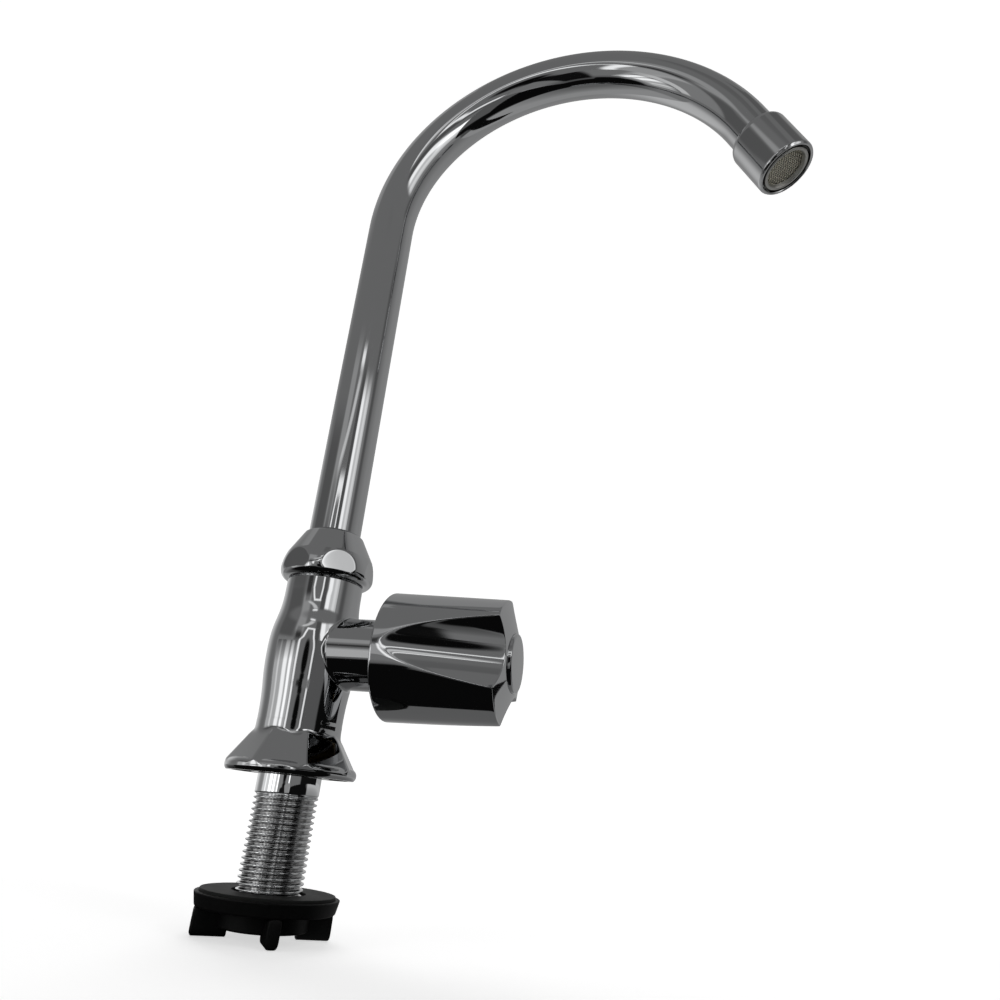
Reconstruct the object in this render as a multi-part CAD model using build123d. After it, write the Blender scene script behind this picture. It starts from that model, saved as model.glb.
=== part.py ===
from build123d import *
from math import cos, radians, sin, sqrt, tan
import os

# A deck-mounted kitchen tap: a turned body on a threaded shank, a tall swan-neck spout that
# swivels in the body, and one knob that opens a screw-down valve in a side boss.
# Millimetres. The origin is the centre of the base's underside, on the worktop. +Z is up the
# body's axis, and the spout and the knob point to -Y.

# Fits
running_gap = 0.05         # round a piece that turns or slides in another
resting_gap = 0.05         # between two faces that turn or slide on each other
tube_clearance = 0.15      # round the tube in the nut and the washer that it turns in
flange_clearance = 0.2     # round the ferrule's flange in the nut
nut_relief = 0.15          # between the body's rim and the nut

# Shank: a plain collar under the base and a half-inch pipe thread, drawn at its pitch line
shank_radius = 10.4775     # of the collar, and over the thread's crests
shank_collar = 5.5
thread_radius = 9.8965     # at the pitch line
shank_bore = 7.0
shank_drop = 46.0          # below the worktop
shank_entry = 12.0         # into the body
collar_relief = 0.8        # depth of the wider mouth of the body's threaded hole

# Base
base_radius = 21.7
base_roll = 2.2            # radius of the rolled rim
base_roll_height = 1.7     # of the rim's widest line
flare_sides = 8
flare_azimuth = 38.7       # of one ridge
flare_foot_inset = 0.3     # of a ridge's foot from the widest line
flare_top_height = 13.9
flare_top_radius = 15.2    # at a ridge
seal_outer = 19.1
seal_inner = 13.0
seal_thickness = 2.0

# Body
waist_radius = 14.2
hip_height = 16.5
hip_radius = 14.3
belly_radius = 15.7
neck_radius = 13.5
neck_length = 4.3
rim_height = 74.0          # top of the thread that the spout nut takes
rim_radius = 12.2
rim_length = 8.2
socket_radius = 10.6       # that the spout turns in
socket_depth = 21.5
shoulder_height = rim_height - rim_length
neck_height = shoulder_height - neck_length
socket_floor = rim_height - socket_depth

# Boss on the front, with the valve
boss_below_rim = 32.7      # the boss's axis, below the body's rim
boss_radius = 12.3
boss_reach = 29.5          # from the body's axis
headgear_radius = 9.95
chamber_radius = 9.0
chamber_floor = 4.0        # from the body's axis
seat_rise = 1.0
seat_outer = 6.0
seat_bore = 4.5
inlet_offset = 6.0         # of the rising waterway behind the body's axis
outlet_offset = 7.4        # of the waterway into the spout socket
outlet_bore = 3.0
boss_height = rim_height - boss_below_rim

# Headgear
headgear_start = 13.5      # from the body's axis
gasket_thickness = 0.8
hex_across_flats = 22.0
hex_length = 5.7
gland_radius = 6.6
gland_length = 8.0
guide_radius = 6.55
guide_half_flat = 5.5      # the flats that stop the carrier from turning
guide_end = 26.1

# Spindle
spindle_radius = 3.9
spindle_start = 15.6
spindle_end = 60.0
collar_thickness = 1.4
collar_radius = 6.3
square_across_flats = 5.6
square_length = 13.0
spindle_ring_wire = 0.55
spindle_ring_places = (31.5, 40.0)
clip_thickness = 0.8
clip_outer = 5.6
clip_groove_depth = 0.6

# Valve
valve_lift = 3.0
washer_thickness = 3.0
valve_washer_radius = 6.6
carrier_disc_radius = 7.0
carrier_disc_thickness = 2.0
carrier_length = 13.0
washer_screw_radius = 1.5
washer_screw_length = 3.2
washer_screw_head_radius = 3.0
washer_screw_head_height = 1.4

# Spout nut
nut_sides = 6
nut_azimuth = 38.7         # of one spanner flat
nut_above_shoulder = 0.5
nut_foot_radius = 14.0
nut_radius = 16.8
nut_roll = 3.7             # height of the rounded foot
nut_roll_fullness = 0.4    # share of its height at which its curve is four fifths of the way out
nut_shoulder = 6.0         # height of the rounded shoulder over the foot
nut_shoulder_bulge = 0.3   # of that shoulder outside a straight line
nut_cone = 8.2
nut_cone_radius = 15.45    # at the cone's foot
nut_neck_radius = 10.9     # at its top
nut_lip = 0.8
nut_lip_radius = 9.9
nut_half_flat = 15.46
nut_bottom = shoulder_height + nut_above_shoulder
nut_roll_top = nut_bottom + nut_roll
nut_shoulder_top = nut_roll_top + nut_shoulder
nut_cone_top = nut_shoulder_top + nut_cone
nut_top = nut_cone_top + nut_lip

# Spout
tube_radius = 9.5
tube_wall = 1.0
tube_depth = 6.0             # below the body's rim
arc_above_rim = 153.8
arc_radius = 80.9
arc_turn = 149.7
straight_after_arc = 30.06   # to the outlet's rim
ferrule_above_floor = 1.5
ferrule_bore = 7.5
ferrule_flange_thickness = 2.0
ferrule_flange_radius = 11.1
spout_ring_wire = 0.95
spout_ring_depths = (16.0, 10.5)   # below the body's rim
ring_groove_slack = 0.2
slip_washer_thickness = 1.0
tube_foot = rim_height - tube_depth
arc_height = rim_height + arc_above_rim
ferrule_foot = socket_floor + ferrule_above_floor

# Outlet
housing_radius = 12.1
housing_length = 22.0
housing_shoulder = 2.0
housing_bore = 11.0
housing_lip_bore = 10.6
housing_lip_length = 7.0
rim_chamfer = 0.4
adapter_length = 9.0
outlet_washer_thickness = 1.5
outlet_washer_bore = 7.5
insert_radius = 10.2
insert_recess = 1.0        # of its rim inside the housing's
insert_bore = 9.0
insert_ledge_bore = 8.4
insert_ledge_depth = 1.5   # below the insert's rim, where the screen lies
jet_plate_thickness = 1.6
jet_radius = 0.8
inner_jet_circle = 3.0
inner_jet_count = 6
outer_jet_circle = 6.2
outer_jet_count = 12
screen_thickness = 0.4

# Knob
knob_back = 29.9           # from the body's axis
knob_length = 40.8
knob_back_radius = 21.8
knob_front_radius = 20.8
knob_back_edge = 0.8
knob_edge_bulge = 0.3      # share of the rounded edge that its middle stays inside the corner
knob_nose_length = 2.3
knob_nose_radius = 10.2
knob_wall = 2.4
flutes = 3
flute_azimuth = 178.0      # round the knob's axis, seen from the front
flute_start = 3.1          # from the knob's back
flute_slope = 14.0
flute_radius = 16.5
cavity_straight = 12.1
hub_radius = 7.0
hub_web = 4.0
cap_radius = 9.73
cap_proud = 1.3
cap_wall = 1.3
cap_edge = 0.5
cap_recess_depth = 7.0
knob_screw_radius = 1.95
knob_screw_length = 16.0
knob_screw_head_radius = 3.8
knob_screw_head_height = 2.4
knob_screw_cross = 4.6     # length of its slots
screw_slot_width = 1.0
slot_share = 0.5           # of a screw head's height that its slot is deep

# Backnut under the worktop
backnut_top = -35.75
backnut_radius = 22.67
backnut_foot_radius = 21.7
backnut_disc = 4.25
backnut_hub_radius = 14.0
backnut_hub_foot = -45.4
wing_count = 4
wing_azimuth = 36.7
wing_reach = 21.5
wing_thickness = 4.0
wing_foot = -48.0
wing_edge = 1.5
deck_washer_radius = 21.1
deck_washer_bore = 11.6
deck_washer_thickness = 1.4
deck_washer_inset = 0.5


def rod(radius, low, high):
    """A round bar on the Z axis."""
    return Pos(0, 0, low) * extrude(Circle(radius), high - low)


def ring(outer, inner, low, high):
    """A tube on the Z axis."""
    return Pos(0, 0, low) * extrude(Circle(outer) - Circle(inner), high - low)


def turned(*edges):
    """A solid turned about Z from the closed half outline that the edges make in XZ."""
    return revolve(make_face(list(edges)), Axis.Z)


def outline(*points):
    """Straight edges through points given as radius and height."""
    return Polyline(*[(radius, 0, height) for radius, height in points])


def arc(start, middle, end):
    """A round edge through three points given as radius and height."""
    return ThreePointArc(*[(radius, 0, height) for radius, height in (start, middle, end)])


def easing(start, end):
    """A curve between two points that leaves and arrives parallel to Z."""
    middle = (start[1] + end[1]) / 2
    corners = (start, (start[0], middle), (end[0], middle), end)
    return Bezier(*[(radius, 0, height) for radius, height in corners])


def frustum(sides, low, low_radius, high, high_radius, azimuth):
    """A tapered prism on Z between two polygons, given by their corner radii."""
    bottom = Pos(0, 0, low) * RegularPolygon(low_radius, sides)
    top = Pos(0, 0, high) * RegularPolygon(high_radius, sides)
    return Rot(0, 0, azimuth) * loft([bottom, top])


def o_ring(wire, outer, height):
    """A round rubber ring on the Z axis."""
    section = Plane.XZ * Pos(outer - wire, height) * Circle(wire)
    return revolve(section, Axis.Z)


# Places. Everything in the boss is made on Z, which is the distance from the body's axis, and
# is then laid towards the front. The outlet's pieces are made with their rim at the origin.
to_boss = Plane(origin=(0, 0, boss_height), x_dir=(1, 0, 0), z_dir=(0, -1, 0))
turn = radians(arc_turn)
arc_end = Vector(0, arc_radius * (cos(turn) - 1), arc_height + arc_radius * sin(turn))
flow = Vector(0, -sin(turn), cos(turn))
to_outlet = Plane(origin=arc_end + flow * straight_after_arc, x_dir=(1, 0, 0), z_dir=flow)


# Body casting
def make_body():
    roll_foot = base_radius - base_roll + sqrt(base_roll**2 - base_roll_height**2)
    roll_crown = base_roll_height + base_roll
    rolled_foot = turned(
        outline((base_radius - base_roll, roll_crown), (0, roll_crown), (0, 0), (roll_foot, 0)),
        arc((roll_foot, 0), (base_radius, base_roll_height), (base_radius - base_roll, roll_crown)),
    )
    flare = frustum(
        flare_sides,
        roll_crown,
        base_radius - flare_foot_inset,
        flare_top_height,
        flare_top_radius,
        flare_azimuth,
    )
    column = turned(
        outline((waist_radius, flare_top_height), (hip_radius, hip_height)),
        easing((hip_radius, hip_height), (belly_radius, boss_height)),
        easing((belly_radius, boss_height), (neck_radius, neck_height)),
        outline(
            (neck_radius, neck_height),
            (neck_radius, shoulder_height),
            (rim_radius, shoulder_height),
            (rim_radius, rim_height),
            (0, rim_height),
            (0, base_roll_height),
            (waist_radius, base_roll_height),
            (waist_radius, flare_top_height),
        ),
    )
    boss = to_boss * rod(boss_radius, 0, boss_reach)
    body = rolled_foot + flare + column + boss

    body -= rod(thread_radius + running_gap, 0, shank_entry)
    body -= rod(shank_radius + running_gap, 0, collar_relief)
    body -= rod(shank_bore, shank_entry, shank_entry + shank_bore)
    body -= ring(seal_outer, seal_inner, 0, seal_thickness)
    body -= rod(socket_radius, socket_floor, rim_height)
    body -= to_boss * rod(headgear_radius + running_gap, headgear_start, boss_reach)
    body -= to_boss * rod(chamber_radius, chamber_floor + seat_rise, headgear_start)
    body -= to_boss * ring(chamber_radius, seat_outer, chamber_floor, chamber_floor + seat_rise)
    body -= to_boss * rod(seat_bore, -inlet_offset, chamber_floor + seat_rise)
    body -= Pos(0, inlet_offset, 0) * rod(seat_bore, shank_entry, boss_height + seat_bore)
    body -= Pos(0, -outlet_offset, 0) * rod(outlet_bore, boss_height, socket_floor)
    return body


def make_base_seal():
    return ring(seal_outer, seal_inner, 0, seal_thickness)


def make_threaded_shank():
    shank = ring(thread_radius, shank_bore, -shank_drop, shank_entry)
    return shank + ring(shank_radius, shank_bore, -shank_collar, 0)


# Backnut and the washer that it presses against the worktop
def make_backnut():
    recess_floor = backnut_top - deck_washer_inset
    disc_foot = backnut_top - backnut_disc
    nut = turned(
        outline(
            (0, recess_floor),
            (deck_washer_radius + running_gap, recess_floor),
            (deck_washer_radius + running_gap, backnut_top),
            (backnut_radius, backnut_top),
            (backnut_foot_radius, disc_foot),
            (backnut_hub_radius, disc_foot),
            (backnut_hub_radius, backnut_hub_foot),
            (0, backnut_hub_foot),
            (0, recess_floor),
        )
    )
    wing = Box(wing_reach, wing_thickness, disc_foot - wing_foot)
    wing = Pos(wing_reach / 2, 0, (disc_foot + wing_foot) / 2) * wing
    wing = fillet(wing.edges().filter_by(Axis.X).group_by(Axis.Z)[0], wing_edge)
    for place in range(wing_count):
        nut += Rot(0, 0, wing_azimuth + place * 360 / wing_count) * wing
    return nut - rod(thread_radius + running_gap, wing_foot, backnut_top)


def make_backnut_washer():
    foot = backnut_top - deck_washer_inset
    return ring(deck_washer_radius, deck_washer_bore, foot, foot + deck_washer_thickness)


# Spout nut, a cone above and with spanner flats below
flange_foot = rim_height + resting_gap
flange_top = flange_foot + ferrule_flange_thickness
slip_washer_foot = flange_top + resting_gap
slip_washer_top = slip_washer_foot + slip_washer_thickness


def make_spout_nut():
    roll_middle_radius = (nut_foot_radius + 4 * nut_radius) / 5
    roll_middle_height = nut_bottom + nut_roll_fullness * nut_roll
    shoulder_middle_radius = (nut_radius + nut_cone_radius) / 2 + nut_shoulder_bulge
    shoulder_middle_height = (nut_roll_top + nut_shoulder_top) / 2
    blank = turned(
        arc(
            (nut_foot_radius, nut_bottom),
            (roll_middle_radius, roll_middle_height),
            (nut_radius, nut_roll_top),
        ),
        arc(
            (nut_radius, nut_roll_top),
            (shoulder_middle_radius, shoulder_middle_height),
            (nut_cone_radius, nut_shoulder_top),
        ),
        outline(
            (nut_cone_radius, nut_shoulder_top),
            (nut_neck_radius, nut_cone_top),
            (nut_lip_radius, nut_top),
            (0, nut_top),
            (0, nut_bottom),
            (nut_foot_radius, nut_bottom),
        ),
    )
    hexagon = Pos(0, 0, nut_bottom) * RegularPolygon(nut_half_flat, nut_sides, major_radius=False)
    flats = Rot(0, 0, nut_azimuth + 180 / nut_sides) * extrude(hexagon, nut_top - nut_bottom)
    nut = blank & flats
    nut -= rod(rim_radius + running_gap, nut_bottom, rim_height + nut_relief)
    nut -= rod(ferrule_flange_radius + flange_clearance, nut_bottom, slip_washer_top)
    return nut - rod(tube_radius + tube_clearance, nut_bottom, nut_top)


def make_slip_washer():
    bore = tube_radius + tube_clearance
    return ring(ferrule_flange_radius, bore, slip_washer_foot, slip_washer_top)


# Spout: tube, the ferrule that turns in the body, and its two rings
def make_spout_tube():
    riser = Line((0, tube_foot), (0, arc_height))
    bend = JernArc(riser @ 1, riser % 1, arc_radius, arc_turn)
    tail_length = straight_after_arc - housing_length + housing_shoulder + adapter_length
    tail = Line(bend @ 1, bend @ 1 + (bend % 1) * tail_length)
    path = Plane.YZ * (riser + bend + tail)
    section = Pos(0, 0, tube_foot) * (Circle(tube_radius) - Circle(tube_radius - tube_wall))
    return sweep(section, path=path)


def make_spout_ferrule():
    ferrule = rod(socket_radius - running_gap, ferrule_foot, flange_foot)
    ferrule += rod(ferrule_flange_radius, flange_foot, flange_top)
    ferrule -= rod(ferrule_bore, ferrule_foot, tube_foot)
    ferrule -= rod(tube_radius, tube_foot, flange_top)
    groove_floor = socket_radius - running_gap - 2 * spout_ring_wire
    half_width = spout_ring_wire + ring_groove_slack
    for depth in spout_ring_depths:
        height = rim_height - depth
        ferrule -= ring(socket_radius, groove_floor, height - half_width, height + half_width)
    return ferrule


def make_spout_o_ring(depth):
    return o_ring(spout_ring_wire, socket_radius - running_gap, rim_height - depth)


# Outlet, made along the flow with its rim at zero
tube_end = adapter_length + housing_shoulder - housing_length
insert_back = tube_end + outlet_washer_thickness
ledge = -insert_recess - insert_ledge_depth


def make_aerator_adapter():
    start = tube_end - adapter_length
    return to_outlet * ring(housing_bore - running_gap, tube_radius, start, tube_end)


def make_aerator_housing():
    top = -housing_length
    shoulder = top + housing_shoulder
    shoulder_radius = housing_radius - housing_shoulder
    edge = housing_shoulder / sqrt(2)
    housing = turned(
        arc(
            (shoulder_radius, top),
            (shoulder_radius + edge, shoulder - edge),
            (housing_radius, shoulder),
        ),
        outline(
            (housing_radius, shoulder),
            (housing_radius, -rim_chamfer),
            (housing_radius - rim_chamfer, 0),
            (housing_lip_bore + rim_chamfer, 0),
            (housing_lip_bore, -rim_chamfer),
            (housing_lip_bore, -housing_lip_length),
            (housing_bore, -housing_lip_length),
            (housing_bore, shoulder),
            (tube_radius, shoulder),
            (tube_radius, top),
            (shoulder_radius, top),
        ),
    )
    return to_outlet * housing


def make_aerator_washer():
    return to_outlet * ring(housing_bore - running_gap, outlet_washer_bore, tube_end, insert_back)


def make_aerator_insert():
    insert = rod(housing_bore - running_gap, insert_back, -housing_lip_length)
    insert += rod(insert_radius, -housing_lip_length, -insert_recess)
    insert -= rod(insert_bore, ledge, -insert_recess)
    plate_front = insert_back + jet_plate_thickness
    insert -= rod(insert_ledge_bore, plate_front, ledge)
    jet = rod(jet_radius, insert_back, plate_front)
    for place in range(inner_jet_count):
        insert -= Rot(0, 0, place * 360 / inner_jet_count) * Pos(inner_jet_circle, 0, 0) * jet
    for place in range(outer_jet_count):
        insert -= Rot(0, 0, place * 360 / outer_jet_count) * Pos(outer_jet_circle, 0, 0) * jet
    return to_outlet * insert


def make_aerator_screen():
    return to_outlet * rod(insert_bore - running_gap, ledge, ledge + screen_thickness)


# Headgear: the brass insert in the boss that carries the spindle
hex_start = boss_reach + gasket_thickness
hex_end = hex_start + hex_length
gland_end = hex_end + gland_length
collar_start = guide_end - collar_thickness - resting_gap


def guide(radius, half_flat, low, high):
    """A round bar with two flats, which slides but doesn't turn in a hole of its own shape."""
    bar = rod(radius, low, high)
    slab = Pos(0, 0, (low + high) / 2) * Box(2 * radius, 2 * half_flat, high - low)
    return bar & slab


def make_headgear():
    headgear = rod(headgear_radius, headgear_start, hex_start)
    hexagon = RegularPolygon(hex_across_flats / 2, 6, major_radius=False)
    headgear += Pos(0, 0, hex_start) * extrude(hexagon, hex_length)
    headgear += rod(gland_radius, hex_end, gland_end)
    headgear -= guide(guide_radius, guide_half_flat, headgear_start, collar_start)
    headgear -= rod(guide_radius, collar_start, guide_end)
    headgear -= rod(spindle_radius + running_gap, guide_end, gland_end)
    return to_boss * headgear


def make_headgear_gasket():
    bore = headgear_radius + running_gap
    return to_boss * ring(boss_radius - running_gap, bore, boss_reach, hex_start)


# Spindle with its rings and the clip that holds it in the headgear
clip_start = gland_end + resting_gap
collar_end = guide_end - resting_gap


def make_spindle():
    square_start = spindle_end - square_length
    spindle = rod(spindle_radius, spindle_start, square_start)
    spindle += rod(collar_radius, collar_end - collar_thickness, collar_end)
    square = extrude(Rectangle(square_across_flats, square_across_flats), square_length)
    spindle += Pos(0, 0, square_start) * square & rod(spindle_radius, square_start, spindle_end)
    groove_floor = spindle_radius - 2 * spindle_ring_wire
    half_width = spindle_ring_wire + ring_groove_slack
    for place in spindle_ring_places:
        spindle -= ring(spindle_radius, groove_floor, place - half_width, place + half_width)
    clip_floor = spindle_radius - clip_groove_depth
    spindle -= ring(spindle_radius, clip_floor, clip_start, clip_start + clip_thickness)
    spindle -= rod(knob_screw_radius, hub_end - knob_screw_length, spindle_end)
    return to_boss * spindle


def make_spindle_o_ring(place):
    return to_boss * o_ring(spindle_ring_wire, spindle_radius, place)


def make_spindle_clip():
    clip_end = clip_start + clip_thickness
    clip = ring(clip_outer, spindle_radius - clip_groove_depth, clip_start, clip_end)
    mouth = Pos(clip_outer, 0, (clip_start + clip_end) / 2)
    return to_boss * (clip - mouth * Box(2 * clip_outer, spindle_radius, clip_thickness))


# Valve: carrier, rubber washer and the screw that holds it
seat_face = chamber_floor + seat_rise
washer_face = seat_face + resting_gap
carrier_face = washer_face + washer_thickness
carrier_end = carrier_face + carrier_length


def make_valve_carrier():
    disc_end = carrier_face + carrier_disc_thickness
    carrier = rod(carrier_disc_radius, carrier_face, disc_end)
    half_flat = guide_half_flat - running_gap
    carrier += guide(guide_radius - running_gap, half_flat, disc_end, carrier_end)
    thread_floor = spindle_start - valve_lift - resting_gap
    carrier -= rod(spindle_radius + running_gap, thread_floor, carrier_end)
    carrier -= rod(washer_screw_radius, carrier_face, carrier_face + washer_screw_length)
    return to_boss * carrier


def make_valve_washer():
    return to_boss * ring(valve_washer_radius, washer_screw_radius, washer_face, carrier_face)


def make_valve_washer_screw():
    head_start = washer_face - washer_screw_head_height
    screw = rod(washer_screw_head_radius, head_start, washer_face)
    screw += rod(washer_screw_radius, washer_face, carrier_face + washer_screw_length)
    slot_depth = slot_share * washer_screw_head_height
    slot = Box(2 * washer_screw_head_radius, screw_slot_width, slot_depth)
    return to_boss * (screw - Pos(0, 0, head_start + slot_depth / 2) * slot)


# Knob: a hollow moulding with three scooped flutes
knob_front = knob_back + knob_length
nose_front = knob_front + knob_nose_length
recess_start = nose_front - cap_recess_depth
hub_start = spindle_end - square_length
hub_end = recess_start - hub_web


def flute_bottom(distance):
    """The flute's radius from the knob's axis, at a distance from the body's axis."""
    return knob_back_radius - tan(radians(flute_slope)) * (distance - knob_back - flute_start)


def make_flute():
    """A round cutter whose lowest line starts on the knob's skin and sinks towards the front."""
    cutter = Pos(flute_radius, 0, 0) * Cylinder(flute_radius, 4 * knob_length)
    start = Pos(knob_back_radius, 0, knob_back + flute_start)
    return start * Rot(0, -flute_slope, 0) * cutter


def make_knob():
    edge_radius = knob_back_radius - knob_back_edge
    bulge = knob_edge_bulge * knob_back_edge
    skin = turned(
        outline((0, knob_back), (edge_radius, knob_back)),
        arc(
            (edge_radius, knob_back),
            (knob_back_radius - bulge, knob_back + bulge),
            (knob_back_radius, knob_back + knob_back_edge),
        ),
        outline(
            (knob_back_radius, knob_back + knob_back_edge),
            (knob_front_radius, knob_front),
            (knob_nose_radius, nose_front),
            (0, nose_front),
            (0, knob_back),
        ),
    )
    for place in range(flutes):
        skin -= Rot(0, 0, flute_azimuth + place * 360 / flutes) * make_flute()
    straight_end = knob_back + cavity_straight
    mouth_radius = flute_bottom(straight_end) - knob_wall
    skin -= turned(
        outline(
            (0, knob_back),
            (mouth_radius, knob_back),
            (mouth_radius, straight_end),
            (flute_bottom(hub_end) - knob_wall, hub_end),
            (0, hub_end),
            (0, knob_back),
        )
    )
    skin += rod(hub_radius, hub_start, hub_end)
    socket_end = spindle_end + resting_gap
    square = extrude(Rectangle(square_across_flats, square_across_flats), socket_end - hub_start)
    skin -= Pos(0, 0, hub_start) * square & rod(spindle_radius, hub_start, socket_end)
    skin -= rod(knob_screw_radius + running_gap, socket_end, recess_start)
    return to_boss * (skin - rod(cap_radius + running_gap, recess_start, nose_front))


def make_knob_screw():
    screw = rod(knob_screw_radius, hub_end - knob_screw_length, recess_start)
    head_end = recess_start + knob_screw_head_height
    screw += rod(knob_screw_head_radius, recess_start, head_end)
    slot_depth = slot_share * knob_screw_head_height
    slot = Pos(0, 0, head_end - slot_depth / 2)
    screw -= slot * Box(knob_screw_cross, screw_slot_width, slot_depth)
    screw -= slot * Box(screw_slot_width, knob_screw_cross, slot_depth)
    return to_boss * screw


def make_index_cap():
    face = nose_front + cap_proud
    cap = rod(cap_radius, recess_start, face)
    cap = fillet(cap.edges().group_by(Axis.Z)[-1], cap_edge)
    return to_boss * (cap - rod(cap_radius - cap_wall, recess_start, face - cap_wall))


pieces = {
    "body": make_body(),
    "base_seal": make_base_seal(),
    "threaded_shank": make_threaded_shank(),
    "backnut": make_backnut(),
    "backnut_washer": make_backnut_washer(),
    "spout_nut": make_spout_nut(),
    "spout_slip_washer": make_slip_washer(),
    "spout_tube": make_spout_tube(),
    "spout_ferrule": make_spout_ferrule(),
    "spout_o_ring_lower": make_spout_o_ring(spout_ring_depths[0]),
    "spout_o_ring_upper": make_spout_o_ring(spout_ring_depths[1]),
    "aerator_adapter": make_aerator_adapter(),
    "aerator_housing": make_aerator_housing(),
    "aerator_washer": make_aerator_washer(),
    "aerator_insert": make_aerator_insert(),
    "aerator_screen": make_aerator_screen(),
    "headgear": make_headgear(),
    "headgear_gasket": make_headgear_gasket(),
    "spindle": make_spindle(),
    "spindle_o_ring_inner": make_spindle_o_ring(spindle_ring_places[0]),
    "spindle_o_ring_outer": make_spindle_o_ring(spindle_ring_places[1]),
    "spindle_clip": make_spindle_clip(),
    "valve_carrier": make_valve_carrier(),
    "valve_washer": make_valve_washer(),
    "valve_washer_screw": make_valve_washer_screw(),
    "knob": make_knob(),
    "knob_screw": make_knob_screw(),
    "index_cap": make_index_cap(),
}

os.makedirs("parts", exist_ok=True)
for name, piece in pieces.items():
    export_step(piece, f"parts/{name}.step")
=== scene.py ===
import bmesh
import bpy
import numpy as np
from mathutils import Matrix, Vector


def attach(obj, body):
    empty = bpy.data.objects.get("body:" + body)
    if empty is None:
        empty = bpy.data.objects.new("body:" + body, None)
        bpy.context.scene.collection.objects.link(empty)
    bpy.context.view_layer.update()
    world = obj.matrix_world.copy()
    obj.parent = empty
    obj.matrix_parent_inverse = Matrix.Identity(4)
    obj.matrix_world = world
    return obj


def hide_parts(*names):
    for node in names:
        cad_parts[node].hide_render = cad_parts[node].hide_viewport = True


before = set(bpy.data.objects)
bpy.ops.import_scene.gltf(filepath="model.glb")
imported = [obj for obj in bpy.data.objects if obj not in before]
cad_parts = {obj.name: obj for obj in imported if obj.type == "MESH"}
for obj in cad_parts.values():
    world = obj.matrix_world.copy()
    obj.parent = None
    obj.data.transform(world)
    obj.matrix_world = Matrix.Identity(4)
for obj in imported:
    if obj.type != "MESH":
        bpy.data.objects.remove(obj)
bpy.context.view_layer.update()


# Camera
# It stands 29 cm from the tap, level with the worktop line, and looks up at the spout, with the
# picture turned a little. The lens is a wide one on a 36 mm frame.
camera_place = Vector((-0.25496, -0.13080, -0.00564))
camera_right = Vector((0.22101, -0.97052, 0.09612))
camera_up = Vector((-0.38354, 0.00412, 0.92352))
camera_ahead = Vector((0.89669, 0.24097, 0.37132))
frame_width = 36.0           # millimetres, as the focal length is
focal_length = 28.257
nearest_seen = 0.01

camera = bpy.data.objects.new("camera", bpy.data.cameras.new("camera"))
camera.data.sensor_width = frame_width
camera.data.lens = focal_length
camera.data.clip_start = nearest_seen
turned = Matrix((camera_right, camera_up, -camera_ahead)).transposed().to_4x4()
camera.matrix_world = Matrix.Translation(camera_place) @ turned
bpy.context.scene.collection.objects.link(camera)
bpy.context.scene.camera = camera
bpy.context.scene.view_settings.view_transform = "Standard"


# Floor and backdrop
# One sheet of white paper lies under the tap and curves up into a wall behind it, as the camera
# sees it. Metal mirrors the paper as white too, and the floor keeps the tap's shadow.
paper_grey = (0.92, 0.92, 0.92)
paper_white = (0.93, 0.93, 0.93)
paper_clouds = 40.0
glow_near = 0.61             # of the background's white that isn't lamp light
glow_far = 0.85
near_distance = 0.35
far_distance = 1.4
floor_height = -0.0482
paper_start = -1.6           # behind the camera
flat_point = 0.8
wall_distance = 2.1
wall_height = 5.5
half_width = 2.4
sweep_radius = 0.5


class Value:
    """A number that varies over a surface. Arithmetic on it adds Math nodes to its tree."""

    def __init__(self, nodes, socket):
        self.nodes = nodes
        self.socket = socket

    def math(self, operation, first, second):
        return self.nodes.add("ShaderNodeMath", {"operation": operation}, {0: first, 1: second})

    def __add__(self, other):
        return self.math("ADD", self, other)

    def __radd__(self, other):
        return self.math("ADD", other, self)

    def __rsub__(self, other):
        return self.math("SUBTRACT", other, self)

    def __mul__(self, other):
        return self.math("MULTIPLY", self, other)

    def __rmul__(self, other):
        return self.math("MULTIPLY", other, self)

    def __pow__(self, other):
        return self.math("POWER", self, other)

    def larger(self, other):
        return self.math("MAXIMUM", self, other)


class Nodes:
    """The shader nodes of a material or of the world."""

    def __init__(self, tree):
        self.tree = tree

    def add(self, kind, settings, inputs, output=0):
        """Any node, with its settings set first and then its sockets' values or links."""
        node = self.tree.nodes.new(kind)
        for setting, value in settings.items():
            setattr(node, setting, value)
        for socket, value in inputs.items():
            self.feed(node.inputs[socket], value)
        return Value(self, node.outputs[output])

    def feed(self, socket, value):
        """Links a socket to what varies, or sets it to a constant."""
        if isinstance(value, Value):
            self.tree.links.new(value.socket, socket)
        else:
            socket.default_value = value


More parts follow.
